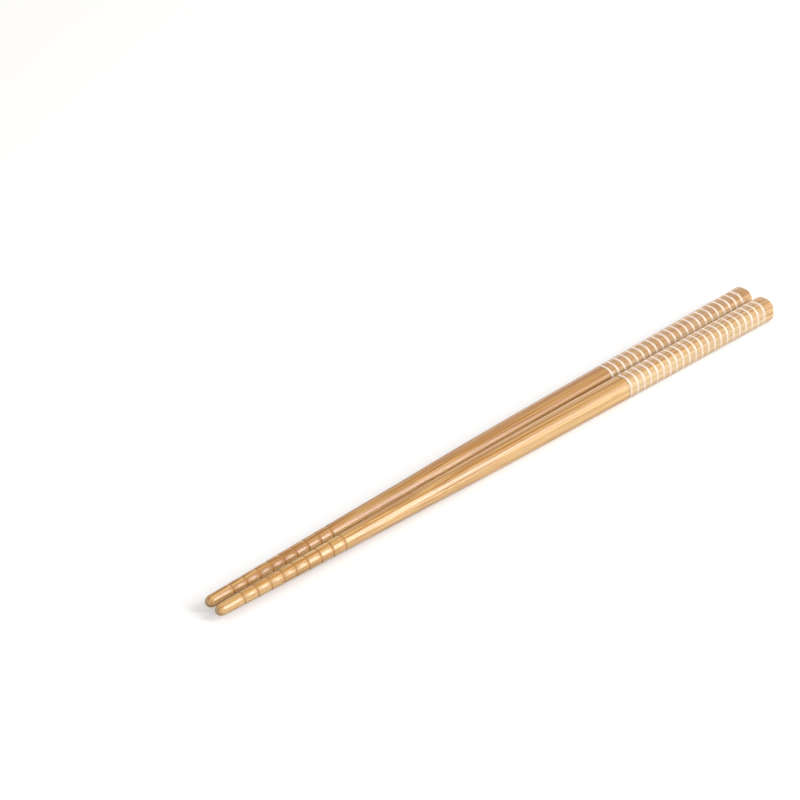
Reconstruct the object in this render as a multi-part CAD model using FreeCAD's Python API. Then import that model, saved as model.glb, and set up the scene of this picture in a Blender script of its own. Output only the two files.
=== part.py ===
import FreeCAD, Part
import math
import os

# A pair of bamboo chopsticks that lie side by side, in millimetres.
# +X runs from the tips to the handle ends, +Z is up, and the printed handles lie on Z = 0.
# Each stick is a bar of square section whose long edges are rounded. Near its tip it is thinner than
# twice that rounding, so it is round there, and turned grooves give grip. A thin printed coat goes round
# the handle.

# Stick, from tip to handle end
stick_length = 240.0
tip_width = 3.8           # diameter that the cone would have at the very tip
end_width = 8.4           # across the flats at the handle end
handle_narrowing = 0.65   # how much less the handle measures across its flats where it begins
cone_end = 89.0           # the straight cone runs from the tip to here
handle_start = 136.0      # the handle's straight taper runs from here to the end
corner_radius = 3.25      # of the long edges
nose_length = 2.4         # the domed nose of the tip
end_rounding = 0.45       # round the cut face of the handle end

# Grip grooves, cut with a pointed tool
groove_count = 9
first_groove = 9.55       # from the tip to the middle of the first groove
wide_gaps = 2             # the gaps nearest the tip, which are a little wider than the rest
wide_pitch = 5.12
groove_pitch = 4.81
groove_width = 0.8
groove_depth = 0.28
turned_beyond = 4.0       # how far the turned part runs on past the last groove

# Printed coat round the handle
print_start = 169.9       # from the tip
print_end = 236.3
print_thickness = 0.05

# The pair as it lies
tip_spacing = 5.8         # between the two axes at the tips
end_spacing = 10.5        # between the two axes at the handle ends
back_stagger = 0.6        # how far the back stick lies towards the handle end

swell_steps = 5           # straight bands that the swell is lofted in
least_band = 1.0          # no band of the body is shorter than this
flat_angle = math.radians(1.0)  # half the angle of the arcs that open into flats
close_enough = 0.001      # lengths nearer than this count as the same

# Across the flats a stick is a straight cone, then a swell of even curvature, then the handle's taper.
handle_slope = handle_narrowing / 2 / (stick_length - handle_start)
handle_start_half = (end_width - handle_narrowing) / 2
swell_length = handle_start - cone_end
swell_gain = handle_slope * swell_length / 2
cone_slope = (handle_start_half - tip_width / 2 - swell_gain) / (cone_end + swell_length / 2)


def half_width(x):
    """Half the size across the flats, or the radius where the stick is round."""
    if x >= handle_start:
        return handle_start_half + handle_slope * (x - handle_start)
    cone = tip_width / 2 + cone_slope * x
    into_swell = max(x - cone_end, 0.0)
    return cone - (cone_slope - handle_slope) * into_swell ** 2 / (2 * swell_length)


def round_part_end():
    """Where the stick has grown to twice the corner radius, so that flats begin."""
    low = 0.0
    high = stick_length
    while high - low > close_enough:
        middle = (low + high) / 2
        if half_width(middle) < corner_radius:
            low = middle
        else:
            high = middle
    return low


def arc(x, centre_y, centre_z, radius, start, end):
    """An arc in the section at x, between two angles counted from +Y towards +Z."""
    points = []
    for angle in (start, (start + end) / 2, end):
        y = centre_y + radius * math.cos(angle)
        z = centre_z + radius * math.sin(angle)
        points.append(FreeCAD.Vector(x, y, z))
    return Part.Arc(*points).toShape()


def round_section(x, grown=0.0):
    """A circle in eight arcs: four wide corners with four short arcs between them."""
    radius = half_width(x) + grown
    edges = []
    for side in range(4):
        facing = side * math.pi / 2
        edges.append(arc(x, 0, 0, radius, facing - flat_angle, facing + flat_angle))
        edges.append(arc(x, 0, 0, radius, facing + flat_angle, facing + math.pi / 2 - flat_angle))
    return Part.Wire(edges)


def square_section(x, grown=0.0):
    """A rounded square in four flats and four corner arcs."""
    flat_half = half_width(x) - corner_radius
    radius = corner_radius + grown
    edges = []
    for side in range(4):
        facing = side * math.pi / 2
        centre_angle = facing + math.pi / 4
        centre_y = flat_half * math.sqrt(2) * math.cos(centre_angle)
        centre_z = flat_half * math.sqrt(2) * math.sin(centre_angle)
        corner = arc(x, centre_y, centre_z, radius, facing, facing + math.pi / 2)
        corner_start = corner.Vertexes[0].Point
        along_flat = FreeCAD.Vector(0, 2 * flat_half * math.sin(facing), -2 * flat_half * math.cos(facing))
        edges.append(Part.LineSegment(corner_start + along_flat, corner_start).toShape())
        edges.append(corner)
    return Part.Wire(edges)


def section(x, grown=0.0):
    """The stick's outline at x, grown outwards by a coat or shrunk by a rounding."""
    if half_width(x) > corner_radius + close_enough:
        return square_section(x, grown)
    return round_section(x, grown)


def loft(sections):
    """A solid with straight sides from section to section. Each side that is flat is a true plane."""
    faces = []
    for face in Part.makeLoft(sections, True, True).Faces:
        plane = face.findPlane()
        if plane is None:
            faces.append(face)
        else:
            faces.append(Part.Face(plane, face.OuterWire))
    return Part.Solid(Part.Shell(faces))


def groove_middle(groove):
    wide = min(groove, wide_gaps)
    return first_groove + wide * wide_pitch + (groove - wide) * groove_pitch


def turned_tip(turned_end):
    """The round nose and grooved cone, turned in one piece about the X axis."""
    nose_radius = half_width(nose_length)
    lead = FreeCAD.Vector(0, 0, 0)
    shoulder = FreeCAD.Vector(nose_length, 0, nose_radius)
    on_nose = FreeCAD.Vector(nose_length * (1 - math.cos(math.pi / 4)), 0, nose_radius * math.sin(math.pi / 4))
    outline = [Part.Arc(lead, on_nose, shoulder).toShape()]
    here = shoulder
    for groove in range(groove_count):
        middle = groove_middle(groove)
        near = middle - groove_width / 2
        far = middle + groove_width / 2
        stops = [
            FreeCAD.Vector(near, 0, half_width(near)),
            FreeCAD.Vector(middle, 0, half_width(middle) - groove_depth),
            FreeCAD.Vector(far, 0, half_width(far)),
        ]
        for stop in stops:
            outline.append(Part.LineSegment(here, stop).toShape())
            here = stop
    rim = FreeCAD.Vector(turned_end, 0, half_width(turned_end))
    hub = FreeCAD.Vector(turned_end, 0, 0)
    outline.append(Part.LineSegment(here, rim).toShape())
    outline.append(Part.LineSegment(rim, hub).toShape())
    outline.append(Part.LineSegment(hub, lead).toShape())
    face = Part.Face(Part.Wire(outline))
    return face.revolve(FreeCAD.Vector(0, 0, 0), FreeCAD.Vector(1, 0, 0), 360)


def shaped_body(turned_end):
    """From the turned part to the handle end: round, then a rounded square that grows its flats."""
    flats_begin = round_part_end()
    body_end = stick_length - end_rounding
    stations = [cone_end + swell_length * step / swell_steps for step in range(swell_steps + 1)]
    stations = [x for x in stations if abs(x - flats_begin) > least_band and turned_end < x < body_end]
    stations = sorted([turned_end, flats_begin, body_end] + stations)
    sections = [section(x) for x in stations]
    halfway_round = end_rounding * (1 - math.sin(math.pi / 4))
    sections.append(section(stick_length - halfway_round, -halfway_round))
    sections.append(section(stick_length, -end_rounding))
    return loft(sections)


def make_stick():
    """One chopstick along the X axis, with its tip at the origin."""
    turned_end = groove_middle(groove_count - 1) + turned_beyond
    stick = turned_tip(turned_end).fuse(shaped_body(turned_end))
    return stick.removeSplitter()


def make_print():
    """The printed coat, a thin sleeve that lies on the handle all round."""
    coated = loft([section(print_start, print_thickness), section(print_end, print_thickness)])
    bare = loft([section(print_start), section(print_end)])
    return coated.cut(bare)


def lay(shape, side):
    """Lays a piece of one stick on the table; side is -1 for the front stick and 1 for the back one."""
    laid = shape.copy()
    origin = FreeCAD.Vector(0, 0, 0)
    underside_tilt = math.degrees(math.atan(handle_slope))
    spread = math.degrees(math.atan((end_spacing - tip_spacing) / 2 / stick_length))
    laid.rotate(origin, FreeCAD.Vector(0, 1, 0), -underside_tilt)
    laid.rotate(origin, FreeCAD.Vector(0, 0, 1), side * spread)
    tip_height = half_width(stick_length) - handle_slope * stick_length + print_thickness
    stagger = back_stagger if side > 0 else 0.0
    middle_of_pair = (stick_length + back_stagger) / 2
    laid.translate(FreeCAD.Vector(stagger - middle_of_pair, side * tip_spacing / 2, tip_height))
    return laid


os.makedirs("parts", exist_ok=True)
stick = make_stick()
printed_coat = make_print()
for name, side in (("front", -1), ("back", 1)):
    lay(stick, side).exportStep("parts/" + name + "_chopstick.step")
    lay(printed_coat, side).exportStep("parts/" + name + "_print.step")
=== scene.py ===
import math
import random

import bmesh
import bpy
from mathutils import Matrix, Vector


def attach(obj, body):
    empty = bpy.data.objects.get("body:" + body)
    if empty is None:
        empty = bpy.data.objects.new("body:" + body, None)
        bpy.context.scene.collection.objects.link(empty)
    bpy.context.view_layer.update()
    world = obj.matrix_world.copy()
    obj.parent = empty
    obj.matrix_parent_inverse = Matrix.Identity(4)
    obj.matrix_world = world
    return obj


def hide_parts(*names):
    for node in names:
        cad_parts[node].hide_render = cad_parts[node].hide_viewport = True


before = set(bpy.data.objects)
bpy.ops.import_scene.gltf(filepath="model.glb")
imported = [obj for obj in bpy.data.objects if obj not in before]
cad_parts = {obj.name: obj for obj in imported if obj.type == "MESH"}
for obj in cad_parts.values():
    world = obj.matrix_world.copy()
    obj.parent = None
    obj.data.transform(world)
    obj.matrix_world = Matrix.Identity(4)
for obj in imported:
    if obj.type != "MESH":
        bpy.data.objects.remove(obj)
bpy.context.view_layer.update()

# A pair of lacquered bamboo chopsticks that lie side by side, in metres.
# +X runs from the tips to the handle ends, +Z is up, and the printed handles lie on Z = 0.
# A side of -1 means the front stick and 1 the back one.

mm = 0.001
random.seed(11)

# Stick, from tip to handle end, as the solids have it
stick_length = 240.0 * mm
tip_width = 3.8 * mm          # diameter that the cone would have at the very tip
end_width = 8.4 * mm          # across the flats at the handle end
handle_narrowing = 0.65 * mm  # how much less the handle measures where it begins
cone_end = 89.0 * mm
handle_start = 136.0 * mm
corner_radius = 3.25 * mm     # of the long edges
nose_length = 2.4 * mm
end_rounding = 0.45 * mm

# Grip grooves
groove_count = 9
first_groove = 9.55 * mm      # from the tip to the middle of the first groove
wide_gaps = 2                 # the gaps nearest the tip, which are a little wider than the rest
wide_pitch = 5.12 * mm
groove_pitch = 4.81 * mm
groove_width = 0.8 * mm
groove_depth = 0.28 * mm
groove_fill = 0.08 * mm       # lacquer that has run into each groove
groove_softness = 1.25        # above 1, the bottom is wider and the sides are steeper

# Printed coat and its white rings
print_start = 169.9 * mm
print_end = 236.3 * mm
print_thickness = 0.05 * mm   # of the coat and a ring together
coat_thickness = 0.02 * mm
ring_count = 22
first_ring = 170.94 * mm      # from the tip to the middle of the first ring
ring_pitch = 3.0604 * mm
ring_width = 0.86 * mm
ring_drift = 0.02 * mm        # how far a ring may sit from its place
ring_unevenness = 0.05        # how much a ring's width may vary, as a share of it
back_ring_shift = -0.15 * mm  # the back stick's rings sit a little nearer its tip
ring_sink = 0.01 * mm         # how far a ring reaches into the coat

# The pair as it lies
tip_spacing = 5.8 * mm
end_spacing = 10.5 * mm
back_stagger = 0.6 * mm

# Where in the cane each stick was cut, by side. It decides which streaks the stick shows.
cane_shift = {-1: Vector((0.0, -0.012, 0.005)), 1: Vector((0.0, 0.031, 0.017))}
cane_turn = {-1: math.radians(-8), 1: math.radians(20)}

# The stick's front lower side, which the colour paints paler as a sheen, counted from +Y towards +Z
sheen_side_angle = math.radians(192)

# How much painted shade browns the top and back of a stick, by side; the back stick gets more. The scale
# towards the front lower side runs from 0 on the far side to 1 there.
shade_share = {-1: 0.4, 1: 0.68}
shade_reach = 0.95             # the painted shade ends here on that scale
shade_fade = 0.15              # and fades over this much of it
shade_taper = 1.5               # how fast the painted shade fades where the stick is thinner, towards the tip
sanded_share = 0.62           # how much the bare handle end looks like cut wood, since it was sanded last

# Fineness of the meshes
points_round = 96
nose_rows = 12
groove_rows = 10
ring_rows = 6
rounding_rows = 6
face_rows = 5
row_pitch = 2.5 * mm
groove_berth = 0.7 * groove_width  # rows of the plain cone keep this far from the middle of a groove

# Across the flats a stick is a straight cone, then a swell of even curvature, then the handle's taper.
handle_slope = handle_narrowing / 2 / (stick_length - handle_start)
handle_start_half = (end_width - handle_narrowing) / 2
swell_length = handle_start - cone_end
swell_gain = handle_slope * swell_length / 2
cone_slope = (handle_start_half - tip_width / 2 - swell_gain) / (cone_end + swell_length / 2)


def half_width(x):
    """Half the size across the flats, or the radius where the stick is round."""
    if x >= handle_start:
        return handle_start_half + handle_slope * (x - handle_start)
    into_swell = max(x - cone_end, 0.0)
    cone = tip_width / 2 + cone_slope * x
    return cone - (cone_slope - handle_slope) * into_swell ** 2 / (2 * swell_length)


def reach(x, angle, grown):
    """From the stick's axis to its surface at x, in the direction of angle."""
    half = half_width(x)
    if half <= corner_radius:
        return half + grown
    flat_half = half - corner_radius
    nearer = max(abs(math.cos(angle)), abs(math.sin(angle)))
    farther = min(abs(math.cos(angle)), abs(math.sin(angle)))
    if (half + grown) * farther / nearer <= flat_half:
        return (half + grown) / nearer
    to_corner = flat_half * (nearer + farther)
    corner = corner_radius + grown
    return to_corner + math.sqrt(to_corner ** 2 - 2 * flat_half ** 2 + corner ** 2)


def lay_matrix(side):
    """Where a stick lies."""
    underside_tilt = math.atan(handle_slope)
    spread = math.atan((end_spacing - tip_spacing) / 2 / stick_length)
    tip_height = half_width(stick_length) - handle_slope * stick_length + print_thickness
    stagger = back_stagger if side > 0 else 0.0
    middle_of_pair = (stick_length + back_stagger) / 2
    place = Matrix.Translation((stagger - middle_of_pair, side * tip_spacing / 2, tip_height))
    return place @ Matrix.Rotation(side * spread, 4, "Z") @ Matrix.Rotation(-underside_tilt, 4, "Y")


def row_of_points(x, grown=0.0, scale=1.0):
    """One row of points round the stick at x."""
    row = []
    for step in range(points_round):
        angle = 2 * math.pi * step / points_round
        radius = reach(x, angle, grown) * scale
        row.append(Vector((x, radius * math.cos(angle), radius * math.sin(angle))))
    return row


def skin(mesh, rows, closed=False):
    """Adds rows of points to a bmesh and joins each to the next with faces."""
    made = [[mesh.verts.new(point) for point in row] for row in rows]
    pairs = list(zip(made, made[1:]))
    if closed:
        pairs.append((made[-1], made[0]))
    for row, following in pairs:
        for step in range(points_round):
            after = (step + 1) % points_round
            mesh.faces.new((row[step], row[after], following[after], following[step]))
    return made


def cap(mesh, row, point):
    """Closes the end of a skin with a fan of faces round one point."""
    middle = mesh.verts.new(point)
    for step in range(points_round):
        mesh.faces.new((row[step], row[(step + 1) % points_round], middle))


def groove_middle(groove):
    wide = min(groove, wide_gaps)
    return first_groove + wide * wide_pitch + (groove - wide) * groove_pitch


def groove_profile(x):
    """How deep in a groove x is, from 0 outside to 1 at the bottom. The lips and the bottom are soft."""
    for groove in range(groove_count):
        off = abs(x - groove_middle(groove)) / (groove_width / 2)
        if off < 1:
            return 0.5 + 0.5 * math.cos(math.pi * off ** groove_softness)
    return 0.0


def by_groove(x):
    """Whether x is so near a groove that the groove's own rows are enough."""
    return any(abs(x - groove_middle(groove)) < groove_berth for groove in range(groove_count))


def stick_stations():
    """Places along the stick that get a row of points, from behind the nose to the end's rounding."""
    places = []
    for groove in range(groove_count):
        for step in range(groove_rows + 1):
            places.append(groove_middle(groove) + groove_width * (step / groove_rows - 0.5))
    x = nose_length
    while x < stick_length - end_rounding:
        if not by_groove(x):
            places.append(x)
        x += row_pitch
    places.append(stick_length - end_rounding)
    return sorted(places)


def stick_rows():
    """All rows of a stick: the domed nose, the grooved and shaped body, the rounding and the cut face."""
    rows = []
    nose_radius = half_width(nose_length)
    for step in range(1, nose_rows):
        turn = math.pi / 2 * step / nose_rows
        x = nose_length * (1 - math.cos(turn))
        rows.append(row_of_points(x, nose_radius * math.sin(turn) - half_width(x)))
    for x in stick_stations():
        rows.append(row_of_points(x, (groove_fill - groove_depth) * groove_profile(x)))
    for step in range(1, rounding_rows + 1):
        turn = math.pi / 2 * step / rounding_rows
        x = stick_length - end_rounding * (1 - math.sin(turn))
        rows.append(row_of_points(x, -end_rounding * (1 - math.cos(turn))))
    for step in range(1, face_rows):
        rows.append(row_of_points(stick_length, -end_rounding, 1 - step / face_rows))
    return rows


def note(data, name, kind, field, values):
    """Keeps one value for each point of the mesh, under a name that materials read."""
    kept = data.attributes.new(name, kind, "POINT")
    for point, value in zip(kept.data, values):
        setattr(point, field, value)


def toward_sheen_side(place):
    """How near a place on the stick is to its front lower side, from 0 on the far side to 1 there. The
    colour paints a sheen on that side and shade away from it.
    """
    sheen_side = Vector((0.0, math.cos(sheen_side_angle), math.sin(sheen_side_angle)))
    return 0.5 + 0.5 * place.dot(sheen_side) / half_width(place.x)


def painted_shade(place, side):
    """How much painted shade browns the stick at a place: on its top and back, and less towards the
    thinner tip.
    """
    left = (half_width(place.x) / (end_width / 2)) ** shade_taper
    faded = min(1.0, max(0.0, (shade_reach - toward_sheen_side(place)) / shade_fade))
    return shade_share[side] * left * faded


def cut_share(point):
    """How squarely the surface cuts across the fibres. The bare handle end was sanded as well."""
    sanded = sanded_share if point.co.x > print_end else 0.0
    return max(abs(point.normal.x), sanded)


def note_grain(data, side):
    """Notes what the materials need to know at each point of the wood."""
    turn = Matrix.Rotation(cane_turn[side], 3, "X")
    places = [turn @ point.co + cane_shift[side] for point in data.vertices]
    note(data, "cane_place", "FLOAT_VECTOR", "vector", places)
    # The grooves' depth, which the colour uses to paint shade in them
    note(data, "groove", "FLOAT", "value", [groove_profile(point.co.x) for point in data.vertices])
    note(data, "cut_across", "FLOAT", "value", [cut_share(point) for point in data.vertices])
    # The colour paints a sheen on the front lower side and shade on the top and back
    note(data, "painted_sheen_side", "FLOAT", "value", [toward_sheen_side(point.co) for point in data.vertices])
    note(data, "painted_shade_side", "FLOAT", "value", [painted_shade(point.co, side) for point in data.vertices])


def finish_mesh(name, mesh, side, material):
    """Makes the bmesh an object that lies in its place and rides on the pair."""
    bmesh.ops.recalc_face_normals(mesh, faces=mesh.faces)
    data = bpy.data.meshes.new(name)
    mesh.to_mesh(data)
    mesh.free()
    for face in data.polygons:
        face.use_smooth = True
    note_grain(data, side)
    data.transform(lay_matrix(side))
    data.materials.append(material)
    piece = bpy.data.objects.new(name, data)
    bpy.context.scene.collection.objects.link(piece)
    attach(piece, "root")
    return piece


def make_stick(name, side, material):
    mesh = bmesh.new()
    made = skin(mesh, stick_rows())
    cap(mesh, made[0], (0, 0, 0))
    cap(mesh, made[-1], (stick_length, 0, 0))
    return finish_mesh(name, mesh, side, material)


def make_coat(name, side, material):
    """The clear printed coat: a thin closed sleeve whose inside lies in the wood."""
    mesh = bmesh.new()
    steps = round((print_end - print_start) / row_pitch)
    places = [print_start + (print_end - print_start) * step / steps for step in range(steps + 1)]
    rows = [row_of_points(x, coat_thickness) for x in places]
    rows.append(row_of_points(print_end + coat_thickness, -coat_thickness))
    rows.append(row_of_points(print_start - coat_thickness, -coat_thickness))
    skin(mesh, rows, closed=True)
    return finish_mesh(name, mesh, side, material)


def ring_section(middle, half_band):
    """The rows of one ring: a low arch over the coat, and a foot in it."""
    rise = print_thickness - coat_thickness
    rows = []
    for step in range(ring_rows + 1):
        turn = math.pi * step / ring_rows
        lift = rise * math.sin(turn) ** 0.5 if 0 < step < ring_rows else 0.0
        rows.append(row_of_points(middle - half_band * math.cos(turn), coat_thickness + lift))
    rows.append(row_of_points(middle + half_band, coat_thickness - ring_sink))
    rows.append(row_of_points(middle - half_band, coat_thickness - ring_sink))
    return rows


def make_rings(name, side, material):
    """The white rings of one stick, as bands of paint that are a little uneven."""
    mesh = bmesh.new()
    ring_start = first_ring + (back_ring_shift if side > 0 else 0.0)
    for ring in range(ring_count):
        middle = ring_start + ring * ring_pitch + random.uniform(-ring_drift, ring_drift)
        half_band = ring_width / 2 * random.uniform(1 - ring_unevenness, 1 + ring_unevenness)
        skin(mesh, ring_section(middle, half_band), closed=True)
    return finish_mesh(name, mesh, side, material)


def colour(red, green, blue):
    return (red, green, blue, 1.0)


# The wood's colours
pale_cane = colour(0.9, 0.6, 0.23)
golden_cane = colour(0.58, 0.25, 0.035)
# Paler colour of the front lower side, a painted sheen
sheen_pale_cane = colour(0.8, 0.58, 0.31)
# Browner colour of the top and back, a painted shade
shade_brown_cane = colour(0.38, 0.145, 0.018)
vein_tint = colour(0.48, 0.32, 0.15)
# Brown of the fibres' dark dashes, and of the painted shade in the grooves
dash_and_groove_shade_brown = colour(0.47, 0.2, 0.035)
end_grain = colour(0.72, 0.52, 0.33)

# What the fibres draw: the length and width of a mark, and the range of noise that shows it
fibre_marks = {
    "Streaks": (110 * mm, 0.65 * mm, 0.38, 0.62),
    "Fibres": (40 * mm, 0.38 * mm, 0.32, 0.68),
    "Veins": (90 * mm, 0.55 * mm, 0.58, 0.66),
    "Dashes": (7 * mm, 0.22 * mm, 0.64, 0.7),
}

# How strongly each thing changes the wood's colour
fibre_share = 0.45
vein_share = 0.7
dash_share = 0.7
# How strongly the grooves are painted darker, as shade
groove_shade_share = 0.8
# How strongly the front lower side is painted paler, as a sheen
sheen_share = 0.6
end_share = 0.7

# Where on the scale towards the front lower side the painted sheen begins to show, and where it shows
# fully
sheen_range = (0.82, 0.96)
# How squarely a surface has to cut the fibres before it shows end grain, and shows it fully
cut_range = (0.35, 0.95)

# The printed coat whitens the wood everywhere and in clouds, and more on the front lower side as a painted
# sheen
veil = colour(0.68, 0.62, 0.46)
veil_share = 0.13
cloud_share = 0.16
veil_sheen_share = 0.14

# White print, in its darker and lighter patches
print_shade = colour(0.82, 0.645, 0.545)
print_light = colour(0.86, 0.715, 0.585)


def set_input(tree, socket, operand):
    """Gives a socket a number or a colour, or links it to another socket."""
    if isinstance(operand, (int, float, tuple)):
        socket.default_value = operand
    else:
        tree.links.new(operand, socket)


def new_group(name, inputs, outputs):
    """A shader node group with named sockets; inputs and outputs are pairs of name and kind."""
    group = bpy.data.node_groups.new(name, "ShaderNodeTree")
    for socket_name, kind in inputs:
        group.interface.new_socket(socket_name, in_out="INPUT", socket_type="NodeSocket" + kind)
    for socket_name, kind in outputs:
        group.interface.new_socket(socket_name, in_out="OUTPUT", socket_type="NodeSocket" + kind)
    start = group.nodes.new("NodeGroupInput")
    end = group.nodes.new("NodeGroupOutput")
    return group, start, end


def place_group(tree, group, inputs):
    """Puts a group into a tree; inputs gives each named socket a value or a link."""
    node = tree.nodes.new("ShaderNodeGroup")
    node.node_tree = group
    for socket_name, operand in inputs.items():
        set_input(tree, node.inputs[socket_name], operand)
    return node


def stretched_noise(tree, place, along, across, detail):
    """Noise drawn out along the fibres; along and across are the sizes of its blots."""
    stretch = tree.nodes.new("ShaderNodeVectorMath")
    stretch.operation = "MULTIPLY"
    stretch.inputs[1].default_value = (1 / along, 1 / across, 1 / across)
    tree.links.new(place, stretch.inputs[0])
    noise = tree.nodes.new("ShaderNodeTexNoise")
    noise.inputs["Scale"].default_value = 1.0
    noise.inputs["Detail"].default_value = detail
    tree.links.new(stretch.outputs[0], noise.inputs["Vector"])
    return noise.outputs["Fac"]


def spread_range(tree, value, low, high, to_low=0.0, to_high=1.0):
    """Takes value from the range low to high to another range, and clamps it."""
    node = tree.nodes.new("ShaderNodeMapRange")
    set_input(tree, node.inputs["Value"], value)
    set_input(tree, node.inputs["From Min"], low)
    set_input(tree, node.inputs["From Max"], high)
    set_input(tree, node.inputs["To Min"], to_low)
    set_input(tree, node.inputs["To Max"], to_high)
    return node.outputs["Result"]


def calculate(tree, operation, first, second):
    """A math node; each operand is a socket or a number."""
    node = tree.nodes.new("ShaderNodeMath")
    node.operation = operation
    set_input(tree, node.inputs[0], first)
    set_input(tree, node.inputs[1], second)
    return node.outputs[0]


def mix_colour(tree, share, first, second, blend="MIX"):
    """A colour mix; each colour is a socket or a tuple, and share is a socket or a number."""
    node = tree.nodes.new("ShaderNodeMix")
    node.data_type = "RGBA"
    node.blend_type = blend
    set_input(tree, node.inputs[0], share)
    set_input(tree, node.inputs[6], first)
    set_input(tree, node.inputs[7], second)
    return node.outputs[2]


def build_cane_fibres():
    """Masks of the cane's fibres: broad tone streaks, fine lines, long dark veins and short dashes."""
    outputs = [(name, "Float") for name in fibre_marks]
    group, start, end = new_group("cane_fibres", [("Place", "Vector")], outputs)
    for name, (length, width, low, high) in fibre_marks.items():
        noise = stretched_noise(group, start.outputs["Place"], length, width, detail=1.0)
        group.links.new(spread_range(group, noise, low, high), end.inputs[name])
    return group


def build_cane_colour():
    """The wood's colour and relief. It is paler where cut across, and on the front lower side as a painted
    sheen;
    browner on the top and back as painted shade; darker in fibres, veins and dashes, and in the grooves as
    painted shade."""
    masks = ("Streaks", "Fibres", "Veins", "Dashes", "Groove", "Cut Across", "Sheen Side", "Shade Side")
    colours = ("Pale", "Golden", "Sheen Pale", "Shade Colour", "Vein Tint", "Dash And Groove Shade", "End Colour")
    inputs = [(name, "Float") for name in masks] + [(name, "Color") for name in colours]
    group, start, end = new_group("cane_colour", inputs, [("Colour", "Color"), ("Height", "Float")])
    given = start.outputs
    wood = mix_colour(group, given["Streaks"], given["Golden"], given["Pale"])
    # Painted sheen: the front lower side is paler
    sheen_side = spread_range(group, given["Sheen Side"], *sheen_range)
    wood = mix_colour(group, calculate(group, "MULTIPLY", sheen_side, sheen_share), wood, given["Sheen Pale"])
    # Painted shade: the top and back are browner, the back stick more so
    wood = mix_colour(group, given["Shade Side"], wood, given["Shade Colour"])
    ends = spread_range(group, given["Cut Across"], *cut_range)
    wood = mix_colour(group, calculate(group, "MULTIPLY", ends, end_share), wood, given["End Colour"])
    lines = calculate(group, "MULTIPLY", given["Fibres"], fibre_share)
    wood = mix_colour(group, lines, wood, given["Vein Tint"], "MULTIPLY")
    veins = calculate(group, "MULTIPLY", given["Veins"], vein_share)
    wood = mix_colour(group, veins, wood, given["Vein Tint"], "MULTIPLY")
    marks = calculate(group, "MULTIPLY", given["Dashes"], dash_share)
    wood = mix_colour(group, marks, wood, given["Dash And Groove Shade"])
    # Painted shade in the grooves: darker brown there
    grooves = calculate(group, "MULTIPLY", given["Groove"], groove_shade_share)
    wood = mix_colour(group, grooves, wood, given["Dash And Groove Shade"])
    group.links.new(wood, end.inputs["Colour"])
    height = calculate(group, "SUBTRACT", 1.0, calculate(group, "ADD", lines, marks))
    group.links.new(height, end.inputs["Height"])
    return group


def build_lacquer():
    """How rough the clear lacquer is: it varies a little along the stick."""
    inputs = [("Place", "Vector"), ("Smooth", "Float"), ("Dull", "Float")]
    group, start, end = new_group("lacquer", inputs, [("Roughness", "Float")])
    given = start.outputs
    patches = stretched_noise(group, given["Place"], along=14 * mm, across=2.5 * mm, detail=3.0)
    rough = spread_range(group, patches, 0.35, 0.65, given["Smooth"], given["Dull"])
    group.links.new(rough, end.inputs["Roughness"])
    return group


cane_fibres = build_cane_fibres()
cane_colour = build_cane_colour()
lacquer = build_lacquer()


def read_note(tree, name, output="Fac"):
    node = tree.nodes.new("ShaderNodeAttribute")
    node.attribute_name = name
    return node.outputs[output]


def start_material(name):
    material = bpy.data.materials.new(name)
    material.use_nodes = True
    tree = material.node_tree
    return material, tree, tree.nodes["Principled BSDF"]


def wood_under_lacquer(tree):
    """The wood's colour and relief in a material, and the place in the cane that they follow."""
    place = read_note(tree, "cane_place", "Vector")
    fibres = place_group(tree, cane_fibres, {"Place": place})
    inputs = {
        "Pale": pale_cane, "Golden": golden_cane, "Sheen Pale": sheen_pale_cane, "Shade Colour": shade_brown_cane,
        "Vein Tint": vein_tint, "Dash And Groove Shade": dash_and_groove_shade_brown, "End Colour": end_grain,
        "Groove": read_note(tree, "groove"), "Cut Across": read_note(tree, "cut_across"),
        "Sheen Side": read_note(tree, "painted_sheen_side"), "Shade Side": read_note(tree, "painted_shade_side"),
    }
    for name in fibre_marks:
        inputs[name] = fibres.outputs[name]
    wood = place_group(tree, cane_colour, inputs)
    return place, wood


def add_relief(tree, shader, height, strength, depth):
    bump = tree.nodes.new("ShaderNodeBump")
    bump.inputs["Strength"].default_value = strength
    bump.inputs["Distance"].default_value = depth
    tree.links.new(height, bump.inputs["Height"])
    tree.links.new(bump.outputs["Normal"], shader.inputs["Normal"])


def add_lacquer(tree, shader, place, smooth, dull):
    """Lets the roughness wander between two values."""
    finish = place_group(tree, lacquer, {"Place": place, "Smooth": smooth, "Dull": dull})
    tree.links.new(finish.outputs["Roughness"], shader.inputs["Roughness"])


def set_gloss(shader, specular, coat_weight, coat_roughness):
    shader.inputs["Specular IOR Level"].default_value = specular
    shader.inputs["Coat Weight"].default_value = coat_weight
    shader.inputs["Coat Roughness"].default_value = coat_roughness


def make_lacquered_bamboo():
    """Bamboo under a clear lacquer with a broad, soft shine."""
    material, tree, shader = start_material("lacquered_bamboo")
    place, wood = wood_under_lacquer(tree)
    tree.links.new(wood.outputs["Colour"], shader.inputs["Base Color"])
    add_relief(tree, shader, wood.outputs["Height"], strength=0.18, depth=0.05 * mm)
    add_lacquer(tree, shader, place, smooth=0.45, dull=0.6)
    set_gloss(shader, specular=0.1, coat_weight=0.65, coat_roughness=0.34)
    shader.inputs["Coat IOR"].default_value = 1.95
    return material


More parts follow.
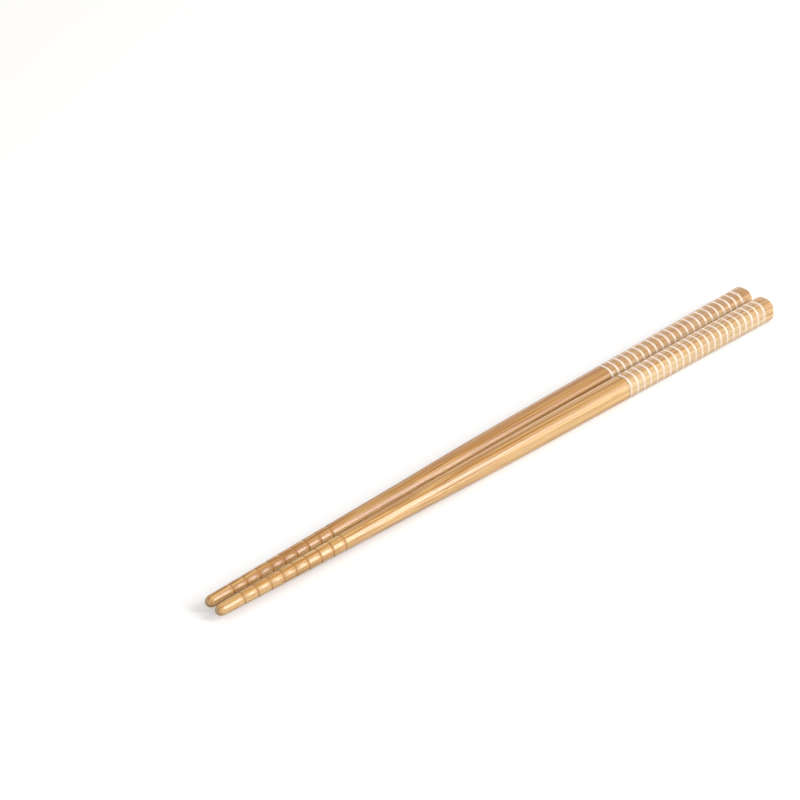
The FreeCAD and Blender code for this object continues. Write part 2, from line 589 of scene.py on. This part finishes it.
def make_printed_coat():
    """Clear print over the wood, which takes some of its warmth away."""
    material, tree, shader = start_material("printed_coat")
    place, wood = wood_under_lacquer(tree)
    clouds = stretched_noise(tree, place, along=9 * mm, across=2.2 * mm, detail=2.0)
    cloudy = calculate(tree, "MULTIPLY", spread_range(tree, clouds, 0.3, 0.7), cloud_share)
    # A stronger veil on the front lower side is a painted sheen
    sheen_side = spread_range(tree, read_note(tree, "painted_sheen_side"), *sheen_range)
    veil_sheen = calculate(tree, "MULTIPLY", sheen_side, veil_sheen_share)
    cover = calculate(tree, "ADD", calculate(tree, "ADD", cloudy, veil_sheen), veil_share)
    veiled = mix_colour(tree, cover, wood.outputs["Colour"], veil)
    tree.links.new(veiled, shader.inputs["Base Color"])
    add_relief(tree, shader, wood.outputs["Height"], strength=0.15, depth=0.03 * mm)
    add_lacquer(tree, shader, place, smooth=0.45, dull=0.6)
    set_gloss(shader, specular=0.1, coat_weight=0.75, coat_roughness=0.28)
    return material


def make_white_print():
    """Pearly white paint, a little uneven in tone."""
    material, tree, shader = start_material("white_print")
    place = read_note(tree, "cane_place", "Vector")
    tone = stretched_noise(tree, place, along=2.6 * mm, across=1.6 * mm, detail=2.0)
    paint = mix_colour(tree, spread_range(tree, tone, 0.35, 0.65), print_shade, print_light)
    tree.links.new(paint, shader.inputs["Base Color"])
    add_relief(tree, shader, tone, strength=0.1, depth=0.02 * mm)
    add_lacquer(tree, shader, place, smooth=0.35, dull=0.5)
    set_gloss(shader, specular=0.2, coat_weight=0.5, coat_roughness=0.28)
    return material


# Camera, as the photograph was taken
camera_lens = 116.134         # in millimetres
camera_sensor = 36            # width, in millimetres
camera_turn = math.radians(52.2646)
camera_down = math.radians(30.8235)
camera_roll = math.radians(-6.3173)
camera_distance = 874.704 * mm
camera_target = Vector((0.3677, 52.1612, 0.0)) * mm
camera_near = 10 * mm         # nothing nearer than this is shown


def set_camera():
    forward = Vector((
        math.cos(camera_down) * math.cos(camera_turn),
        math.cos(camera_down) * math.sin(camera_turn),
        -math.sin(camera_down)))
    right = forward.cross(Vector((0, 0, 1))).normalized()
    up = right.cross(forward)
    rolled_right = math.cos(camera_roll) * right + math.sin(camera_roll) * up
    rolled_up = math.cos(camera_roll) * up - math.sin(camera_roll) * right
    facing = Matrix((rolled_right, rolled_up, -forward)).transposed().to_4x4()
    lens = bpy.data.cameras.new("camera")
    lens.lens = camera_lens
    lens.sensor_width = camera_sensor
    lens.clip_start = camera_near
    camera = bpy.data.objects.new("camera", lens)
    camera.matrix_world = Matrix.Translation(camera_target - forward * camera_distance) @ facing
    bpy.context.scene.collection.objects.link(camera)
    bpy.context.scene.camera = camera


def add_softbox(name, place, size_along, size_up, radiance, tint=(1, 1, 1)):
    """A soft lamp beside the pair, level along it; radiance is how bright its face looks."""
    lamp = bpy.data.lights.new(name, "AREA")
    lamp.shape = "RECTANGLE"
    lamp.size = size_along
    lamp.size_y = size_up
    lamp.energy = 4 * radiance * size_along * size_up
    lamp.color = tint
    holder = bpy.data.objects.new(name, lamp)
    holder.location = place
    towards_pair = Vector((0.0, -place[1], -place[2]))
    holder.rotation_euler = towards_pair.to_track_quat("-Z", "Y").to_euler()
    bpy.context.scene.collection.objects.link(holder)


def lamp_place(along, distance, height_angle):
    """A place round the pair's length: 0 is level in front of it, 90 above it, and past that behind it."""
    rise = math.radians(height_angle)
    return (along, -distance * math.cos(rise), distance * math.sin(rise))


def set_world(low_height, high_height, overhead):
    """White walls all round, which grow dimmer between two heights towards the ceiling."""
    world = bpy.data.worlds.new("studio")
    world.use_nodes = True
    bpy.context.scene.world = world
    tree = world.node_tree
    background = tree.nodes["Background"]
    background.inputs["Color"].default_value = colour(1, 1, 1)
    direction = tree.nodes.new("ShaderNodeTexCoord").outputs["Generated"]
    parts = tree.nodes.new("ShaderNodeSeparateXYZ")
    tree.links.new(direction, parts.inputs[0])
    fade = tree.nodes.new("ShaderNodeMapRange")
    fade.interpolation_type = "SMOOTHSTEP"
    tree.links.new(parts.outputs["Z"], fade.inputs["Value"])
    fade.inputs["From Min"].default_value = math.sin(math.radians(low_height))
    fade.inputs["From Max"].default_value = math.sin(math.radians(high_height))
    fade.inputs["To Min"].default_value = 1.0
    fade.inputs["To Max"].default_value = overhead
    tree.links.new(fade.outputs["Result"], background.inputs["Strength"])


# Floor, as the camera sees it and as the pair's undersides are lit by it
floor_seen = colour(0.88, 0.87, 0.86)
floor_bounce = colour(0.36, 0.28, 0.2)
floor_lift = 0.04             # a glow for every look at the floor, which keeps it white
floor_camera_lift = 0.2       # and more for the camera alone
floor_reach = 4.0


def seen_rays(tree):
    """1 for rays that show the background to the camera, in gloss or through glass, and else 0."""
    path = tree.nodes.new("ShaderNodeLightPath")
    seen = calculate(tree, "MAXIMUM", path.outputs["Is Camera Ray"], path.outputs["Is Glossy Ray"])
    return calculate(tree, "MAXIMUM", seen, path.outputs["Is Transmission Ray"])


def make_floor_paint():
    material = bpy.data.materials.new("pale_floor")
    material.use_nodes = True
    tree = material.node_tree
    tree.nodes.remove(tree.nodes["Principled BSDF"])
    seen = seen_rays(tree)
    paint = tree.nodes.new("ShaderNodeBsdfDiffuse")
    tree.links.new(mix_colour(tree, seen, floor_bounce, floor_seen), paint.inputs["Color"])
    direct = tree.nodes.new("ShaderNodeLightPath").outputs["Is Camera Ray"]
    seen_glow = calculate(tree, "MULTIPLY", seen, floor_lift)
    camera_glow = calculate(tree, "MULTIPLY", direct, floor_camera_lift)
    lift = tree.nodes.new("ShaderNodeEmission")
    tree.links.new(calculate(tree, "ADD", seen_glow, camera_glow), lift.inputs["Strength"])
    both = tree.nodes.new("ShaderNodeAddShader")
    tree.links.new(paint.outputs[0], both.inputs[0])
    tree.links.new(lift.outputs[0], both.inputs[1])
    tree.links.new(both.outputs[0], tree.nodes["Material Output"].inputs["Surface"])
    return material


def make_floor():
    """A plain pale floor. The camera sees it white, with the pair's shadow on it."""
    signs = ((-1, -1), (1, -1), (1, 1), (-1, 1))
    corners = [(along * floor_reach, across * floor_reach, 0) for along, across in signs]
    data = bpy.data.meshes.new("floor")
    data.from_pydata(corners, [], [(0, 1, 2, 3)])
    data.materials.append(make_floor_paint())
    floor = bpy.data.objects.new("floor", data)
    bpy.context.scene.collection.objects.link(floor)


lacquered_bamboo = make_lacquered_bamboo()
printed_coat = make_printed_coat()
white_print = make_white_print()

for end_name, side in (("front", -1), ("back", 1)):
    stick = make_stick("bamboo_stick_" + end_name, side, lacquered_bamboo)
    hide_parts(end_name + "_chopstick")
    coat = make_coat("printed_coat_" + end_name, side, printed_coat)
    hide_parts(end_name + "_print")
    make_rings("white_rings_" + end_name, side, white_print)

set_camera()
set_world(low_height=10, high_height=30, overhead=0.56)
make_floor()
front_place = lamp_place(along=0.46, distance=1.2, height_angle=33)
back_place = lamp_place(along=1.4, distance=1.5, height_angle=165)
add_softbox("front_softbox", front_place, size_along=0.46, size_up=0.9, radiance=9.0)
add_softbox("back_softbox", back_place, size_along=0.9, size_up=0.7, radiance=2.2, tint=(1.0, 0.84, 0.76))
bpy.context.scene.view_settings.view_transform = "Standard"
